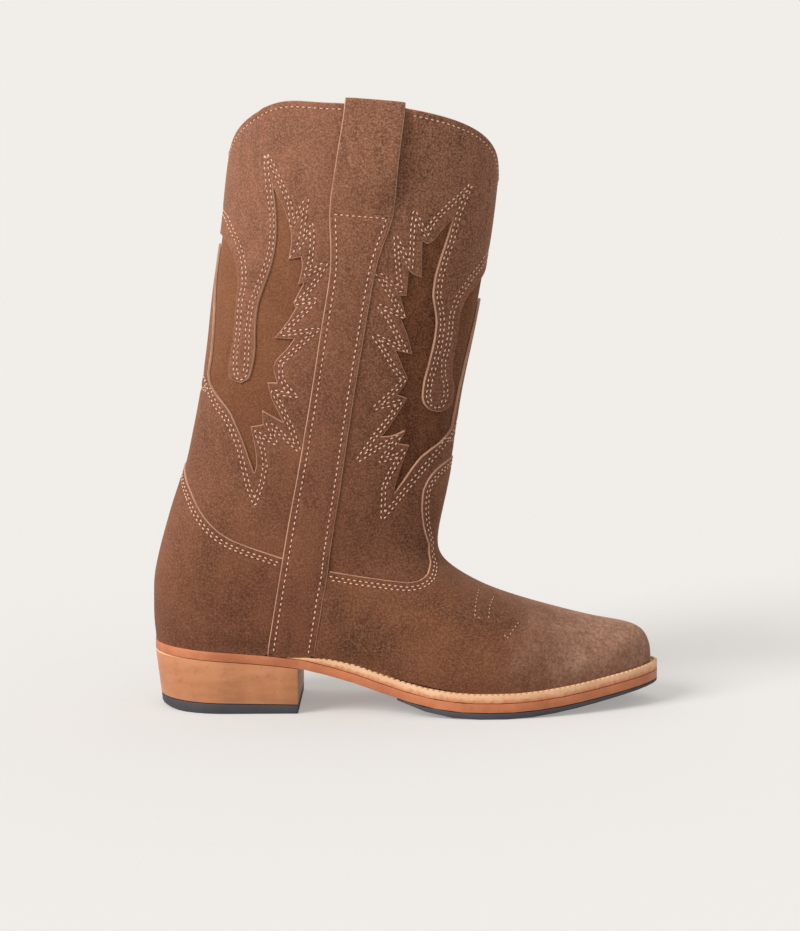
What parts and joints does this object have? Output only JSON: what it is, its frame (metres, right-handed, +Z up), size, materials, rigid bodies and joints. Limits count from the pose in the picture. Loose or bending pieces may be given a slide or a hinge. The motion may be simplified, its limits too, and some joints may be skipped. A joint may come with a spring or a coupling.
{
  "type": "western boot",
  "caption": "Mid-calf western boot in brown suede with flame-shaped shaft inlays, side pull straps, welted leather sole and stacked block heel.",
  "frame": {"origin": "on the floor under the middle of the boot, half way along the sole", "axes": "+X to the toe, -Y to the outer (lateral) side, +Z up to the collar"},
  "size_m": [0.2906, 0.1072, 0.34],
  "materials": {
    "suede": "brushed mid-brown suede, no gloss",
    "under_leather": "darker brown suede shown in the windows, smooth lining inside",
    "insole_leather": "natural smooth leather",
    "welt_leather": "natural tan, wheeled edge",
    "sole_leather": "orange-brown waxed edge",
    "heel_leather": "tan stacked leather, waxed",
    "rubber": "matte black"
  },
  "bodies": {
    "root": {"upper": "under_leather", "front_panel": "suede", "back_panel": "suede", "vamp": "suede", "counter": "suede", "side_strap_lateral": "suede", "side_strap_medial": "suede", "insole": "insole_leather", "welt": "welt_leather", "outsole": "sole_leather", "forefoot_sole": "rubber", "heel_stack": "heel_leather", "heel_lift": "rubber"}
  },
  "joints": []
}
